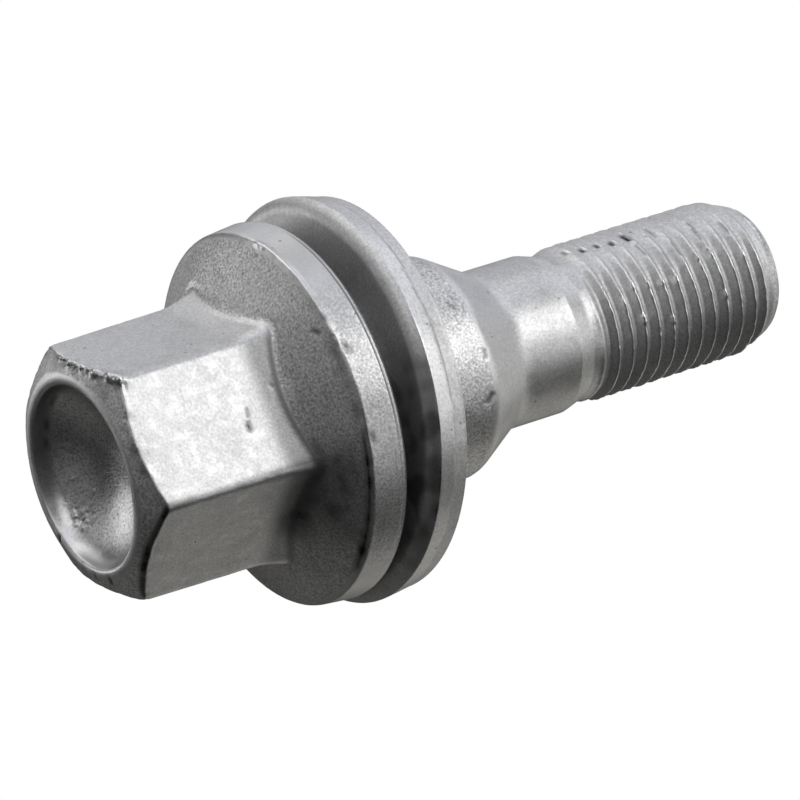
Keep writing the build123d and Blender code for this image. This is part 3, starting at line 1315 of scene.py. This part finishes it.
    def build(self) -> bpy.types.Object:
        """Builds the bolt's skin and dresses it.

        Returns:
            The finished piece.
        """
        skin = Skin(self.columns)
        rings = [self.at_corner(ring) for ring in self.head_rings()] + self.stem_rings()
        verts = skin.spin(rings)
        self.shape_head(skin, verts, rings)
        self.soften_edges(skin, verts)
        self.add_thread(skin)
        skin.spin(self.tip_rings())
        start, end = self.thread_start(), self.thread_end()
        blank = skin.open_loop(start)
        tip = skin.open_loop(end + self.tip_gap)
        bmesh.ops.bridge_loops(skin.bm, edges=skin.open_loop(end) + tip)
        bmesh.ops.remove_doubles(skin.bm, verts=list({v for e in blank for v in e.verts}), dist=MERGE)
        marks = (*self.thread_marks(), *self.head_marks(), *self.handling_marks())
        skin.refine(marks)
        for vert in skin.bm.verts:
            vert[skin.soot_and_shade] = self.grime_and_shade(skin, vert)
            vert[skin.grit] = self.grit(Zone(vert[skin.zone]), vert.co)
            vert[skin.shine] += self.polish(Zone(vert[skin.zone]), vert.co)
        skin.sink(lambda vert: self.depth(skin, vert))
        skin.press(marks)
        piece = skin.finish("bolt_skin", Matrix.Identity(4), self.finish.material())
        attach(piece, "bolt")
        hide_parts("bolt")
        return piece


@dataclass
class CaptiveWasher:
    """Stamped ring, loose under the flange: a die roll, a sheared band and a broken band on its rim."""

    thickness: float = 3.2
    radius: float = 14.85
    seat_radius: float = 14.4
    die_roll: float = 0.75
    die_roll_width: float = 0.433
    bore_radius: float = 7.981
    bore_chamfer: float = 0.3
    countersink_radius: float = 9.2
    break_share: float = 0.66
    spacing: float = 0.17
    columns: int = 384
    # Gives the eye the bolt's silver grey, a little duller and more even
    finish: ZincFlake = ZincFlake("zinc_flake_on_stamped_steel", roughness=0.5)

    def rings(self) -> list[Ring]:
        """Lays out the washer's section.

        Returns:
            Rings once round it, from the bore on the flange side outwards.
        """
        half = self.thickness / 2
        sink = half - (self.countersink_radius - self.bore_radius)
        section = [
            Corner(self.bore_radius + self.bore_chamfer, -half, 0, Zone.FACE),
            Corner(self.radius - self.die_roll_width, -half, 1.3, Zone.FACE),
            Corner(self.radius - 0.03, self.die_roll - half, 0.12, Zone.SHEAR),
            Corner(self.seat_radius, half, 0.12, Zone.BORE),
            Corner(self.countersink_radius, half, 0.1, Zone.BORE),
            Corner(self.bore_radius, sink, 0.1, Zone.BORE),
            Corner(self.bore_radius, self.bore_chamfer - half, 0, Zone.BORE),
            Corner(self.bore_radius + self.bore_chamfer, -half, 0, Zone.BORE),
        ]
        return turned_path(section, self.spacing)[:-1]

    def past_break(self, point: Vector) -> float:
        """Distance of a point on the rim past the ragged line where the sheared band breaks off."""
        wander = 0.07 * noise.noise(point.xy.to_3d() / 2.5) + 0.04 * noise.noise(point.xy.to_3d() / 0.7)
        return point.z + self.thickness / 2 - (self.break_share + wander) * self.thickness

    def torn_share(self, point: Vector) -> float:
        """How rough the broken band is at a point: torn on one side, nearly smooth elsewhere."""
        return 0.25 + 0.75 * sector(bearing_of(point), 250, 30, 60)

    def depth(self, skin: Skin, vert: bmesh.types.BMVert) -> float:
        """Depth of a vertex below the true form.

        Args:
            skin: the washer's skin.
            vert: the vertex.

        Returns:
            Depth in millimetres.
        """
        zone = Zone(vert[skin.zone])
        if zone is Zone.BORE:
            return 0.0
        if zone is Zone.FACE:
            return Relief(0.012, 3.0, 0.012, 0.6).depth(vert.co)
        past = self.past_break(vert.co)
        torn = smooth_step(past, -0.05, 0.15) * self.torn_share(vert.co)
        burnished = Relief(0.012, 2.0, 0.008, 0.5).depth(vert.co)
        rough = Relief(0.03, 1.2, 0.06, 0.42).depth(vert.co)
        return burnished + torn * rough + 0.05 * self.torn_share(vert.co) * bell(past, 0.1)

    def dress(self, skin: Skin, vert: bmesh.types.BMVert) -> None:
        """Sets the deposit, painted shade and polish of a vertex.

        Args:
            skin: the washer's skin.
            vert: the vertex.
        """
        zone = Zone(vert[skin.zone])
        bearing = bearing_of(vert.co)
        patch = smooth_step(noise.noise(vert.co / 1.6), -0.2, 0.4)
        vert[skin.grit] = 0.6
        if zone is Zone.SHEAR:
            past = self.past_break(vert.co)
            vert[skin.soot_and_shade] = 0.4 * self.torn_share(vert.co) * bell(past, 0.09)
            vert[skin.shine] = 0.5 * smooth_step(past, 0.0, -0.2)
        if zone is Zone.FACE:
            # Painted shade on the lower side of the face, where it faces the flange across the narrow gap,
            # darkest near its outer edge
            edge = (0.25 + 0.6 * patch) * bell(vert.co.xy.length - self.radius, 0.3)
            film_and_shade = (0.3 + 0.35 * patch) * sector(bearing, 305, 22, 45)
            vert[skin.soot_and_shade] = max(film_and_shade, edge * sector(bearing, 306, 20, 36))

    def place(self) -> Matrix:
        """Finds where the washer sits, from its joint.

        Returns:
            Its middle and its lean, in millimetres.
        """
        joint = next(j for j in frame["joints"] if j["name"] == "washer_spin")
        lean = Vector((0, 0, 1)).rotation_difference(Vector(joint["axis"])).to_matrix().to_4x4()
        return Matrix.Translation(Vector(joint["pos_m"]) / MM) @ lean

    def build(self) -> bpy.types.Object:
        """Builds the washer's skin and dresses it.

        Returns:
            The finished piece.
        """
        skin = Skin(self.columns)
        skin.spin(self.rings(), closed=True)
        for vert in skin.bm.verts:
            self.dress(skin, vert)
        skin.sink(lambda vert: self.depth(skin, vert))
        piece = skin.finish("washer_skin", self.place(), self.finish.material())
        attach(piece, "washer")
        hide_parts("captive_washer")
        return piece


class Tint(Enum):
    """Colour of a soft light."""

    WHITE = "#FFFFFF"
    COOL = "#F6F7FF"
    WARM = "#FFFDF6"


@dataclass(frozen=True)
class SoftBox:
    """Soft studio light: its azimuth and elevation as seen from the part, its width and its power."""

    name: str
    azimuth: float
    elevation: float
    width_mm: float
    watts: float
    tint: Tint = Tint.WHITE
    distance_mm: float = 420.0


def direction(azimuth: float, elevation: float) -> Vector:
    """Way from the part to a viewer or a light; azimuth 0 stands on -Y and turns towards +X.

    Args:
        azimuth: bearing in degrees.
        elevation: height above the horizon in degrees.

    Returns:
        Unit vector.
    """
    a, e = math.radians(azimuth), math.radians(elevation)
    return Vector((math.sin(a) * math.cos(e), -math.cos(a) * math.cos(e), math.sin(e)))


@dataclass
class Studio:
    """Pale floor, soft light and the camera at the photograph's viewing angle."""

    camera_azimuth: float = 6.2
    camera_elevation: float = -30.196
    camera_roll: float = 72.41
    camera_distance_mm: float = 405.63
    aim_mm: tuple[float, float, float] = (1.915, -3.418, 24.295)
    lens_mm: float = 256.2
    sensor_mm: float = 36.0
    floor_size_mm: float = 1600.0
    floor_colour: str = "#EDEDEB"
    paper_colour: str = "#FFFFFF"
    ambient: float = 0.043
    boxes: tuple[SoftBox, ...] = (
        SoftBox("key_light", -11, 29, 273, 0.51),
        SoftBox("high_light", 20, 50, 339, 0.32),
        SoftBox("left_light", -56, -2, 339, 0.374, Tint.COOL),
        SoftBox("left_high_light", -67, 47, 339, 0.335, Tint.COOL),
        SoftBox("left_back_light", -94, -12, 339, 0.4),
        SoftBox("left_low_light", -118, -44, 306, 0.106),
        SoftBox("back_high_light", -135, 64, 392, 0.181, Tint.COOL),
        SoftBox("front_low_light", -45, -42, 306, 0.27),
        SoftBox("right_light", 128, 33, 392, 0.14, Tint.WARM),
        SoftBox("front_light", -17, -1, 225, 0.095),
        SoftBox("back_left_light", -124, 30, 339, 0.145, Tint.COOL),
        SoftBox("dish_light", -153, -29, 190, 0.17),
        SoftBox("back_light", -148, 4, 339, 0.045),
        SoftBox("bounce_light", 151, -18, 392, 0.032, Tint.WARM),
        SoftBox("top_light", 97, 83, 339, 0.163),
        SoftBox("right_top_light", 139, 62, 339, 0.04, Tint.WARM),
        SoftBox("right_high_light", 83, 55, 339, 0.02, Tint.WARM),
        SoftBox("side_light", -114, 7, 306, 0.066),
        SoftBox("left_mid_light", -90, 22, 225, 0.065),
        SoftBox("low_light", -64, -87, 339, 0.042),
        SoftBox("rim_light", 38, 11, 225, 0.12),
    )

    def add_camera(self) -> None:
        """Places the camera low in front of the head, rolled as the photograph was taken."""
        data = bpy.data.cameras.new("camera")
        data.lens = self.lens_mm
        data.sensor_width = self.sensor_mm
        data.clip_end = 10.0
        camera = bpy.data.objects.new("camera", data)
        back = direction(self.camera_azimuth, self.camera_elevation)
        camera.location = (Vector(self.aim_mm) + back * self.camera_distance_mm) * MM
        level = (-back).to_track_quat("-Z", "Y").to_matrix()
        roll = Matrix.Rotation(math.radians(self.camera_roll), 3, "Z")
        camera.rotation_euler = (level @ roll).to_euler()
        bpy.context.scene.collection.objects.link(camera)
        bpy.context.scene.camera = camera

    def add_floor(self) -> None:
        """Lays a pale floor that shows from above only."""
        # Matt paint gives the eye a pale, even ground with no reflections
        material = bpy.data.materials.new("pale_floor")
        material.use_nodes = True
        tree = material.node_tree
        tree.nodes.clear()
        paint = add_node(tree, "ShaderNodeBsdfDiffuse", {"Color": linear(self.floor_colour)})
        clear = add_node(tree, "ShaderNodeBsdfTransparent", {})
        below = add_node(tree, "ShaderNodeNewGeometry", {}).outputs["Backfacing"]
        mix = add_node(tree, "ShaderNodeMixShader", {0: below, 1: paint.outputs[0], 2: clear.outputs[0]})
        add_node(tree, "ShaderNodeOutputMaterial", {"Surface": mix.outputs[0]})
        bm = bmesh.new()
        bmesh.ops.create_grid(bm, x_segments=1, y_segments=1, size=self.floor_size_mm * MM / 2)
        mesh = bpy.data.meshes.new("floor")
        bm.to_mesh(mesh)
        bm.free()
        mesh.materials.append(material)
        floor = bpy.data.objects.new("floor", mesh)
        floor.visible_shadow = False
        floor.visible_diffuse = False
        floor.visible_glossy = False
        bpy.context.scene.collection.objects.link(floor)

    def add_lights(self) -> None:
        """Hangs the soft boxes, each aimed at the middle of the bolt."""
        for box in self.boxes:
            data = bpy.data.lights.new(box.name, "AREA")
            data.shape = "DISK"
            data.size = box.width_mm * MM
            data.energy = box.watts
            data.color = linear(box.tint.value)[:3]
            light = bpy.data.objects.new(box.name, data)
            way = direction(box.azimuth, box.elevation)
            light.location = (Vector(self.aim_mm) + way * box.distance_mm) * MM
            light.rotation_euler = way.to_track_quat("Z", "Y").to_euler()
            light.visible_camera = False
            bpy.context.scene.collection.objects.link(light)

    def add_world(self) -> None:
        """Surrounds the set with white paper that gives the part only a little light."""
        # Plain paper gives the eye a clean white behind the part
        world = bpy.data.worlds.new("paper")
        world.use_nodes = True
        tree = world.node_tree
        tree.nodes.clear()
        seen = add_node(tree, "ShaderNodeLightPath", {}).outputs["Is Camera Ray"]
        fill, paper = (
            add_node(tree, "ShaderNodeBackground", {"Color": linear(self.paper_colour), "Strength": strength})
            for strength in (self.ambient, 1.0)
        )
        mix = add_node(tree, "ShaderNodeMixShader", {0: seen, 1: fill.outputs[0], 2: paper.outputs[0]})
        add_node(tree, "ShaderNodeOutputWorld", {"Surface": mix.outputs[0]})
        bpy.context.scene.world = world
        bpy.context.scene.view_settings.view_transform = "Standard"

    def build(self) -> None:
        """Sets up the floor, lights, world and camera."""
        self.add_floor()
        self.add_lights()
        self.add_world()
        self.add_camera()


def main() -> None:
    """Builds the studio and the two pieces, and reports each."""
    logging.basicConfig(level=logging.INFO)
    Studio().build()
    for maker in (Bolt(), CaptiveWasher()):
        piece = maker.build()
        piece.data.calc_loop_triangles()
        LOG.info("%s: %d triangles", piece.name, len(piece.data.loop_triangles))


if __name__ == "__main__":
    main()
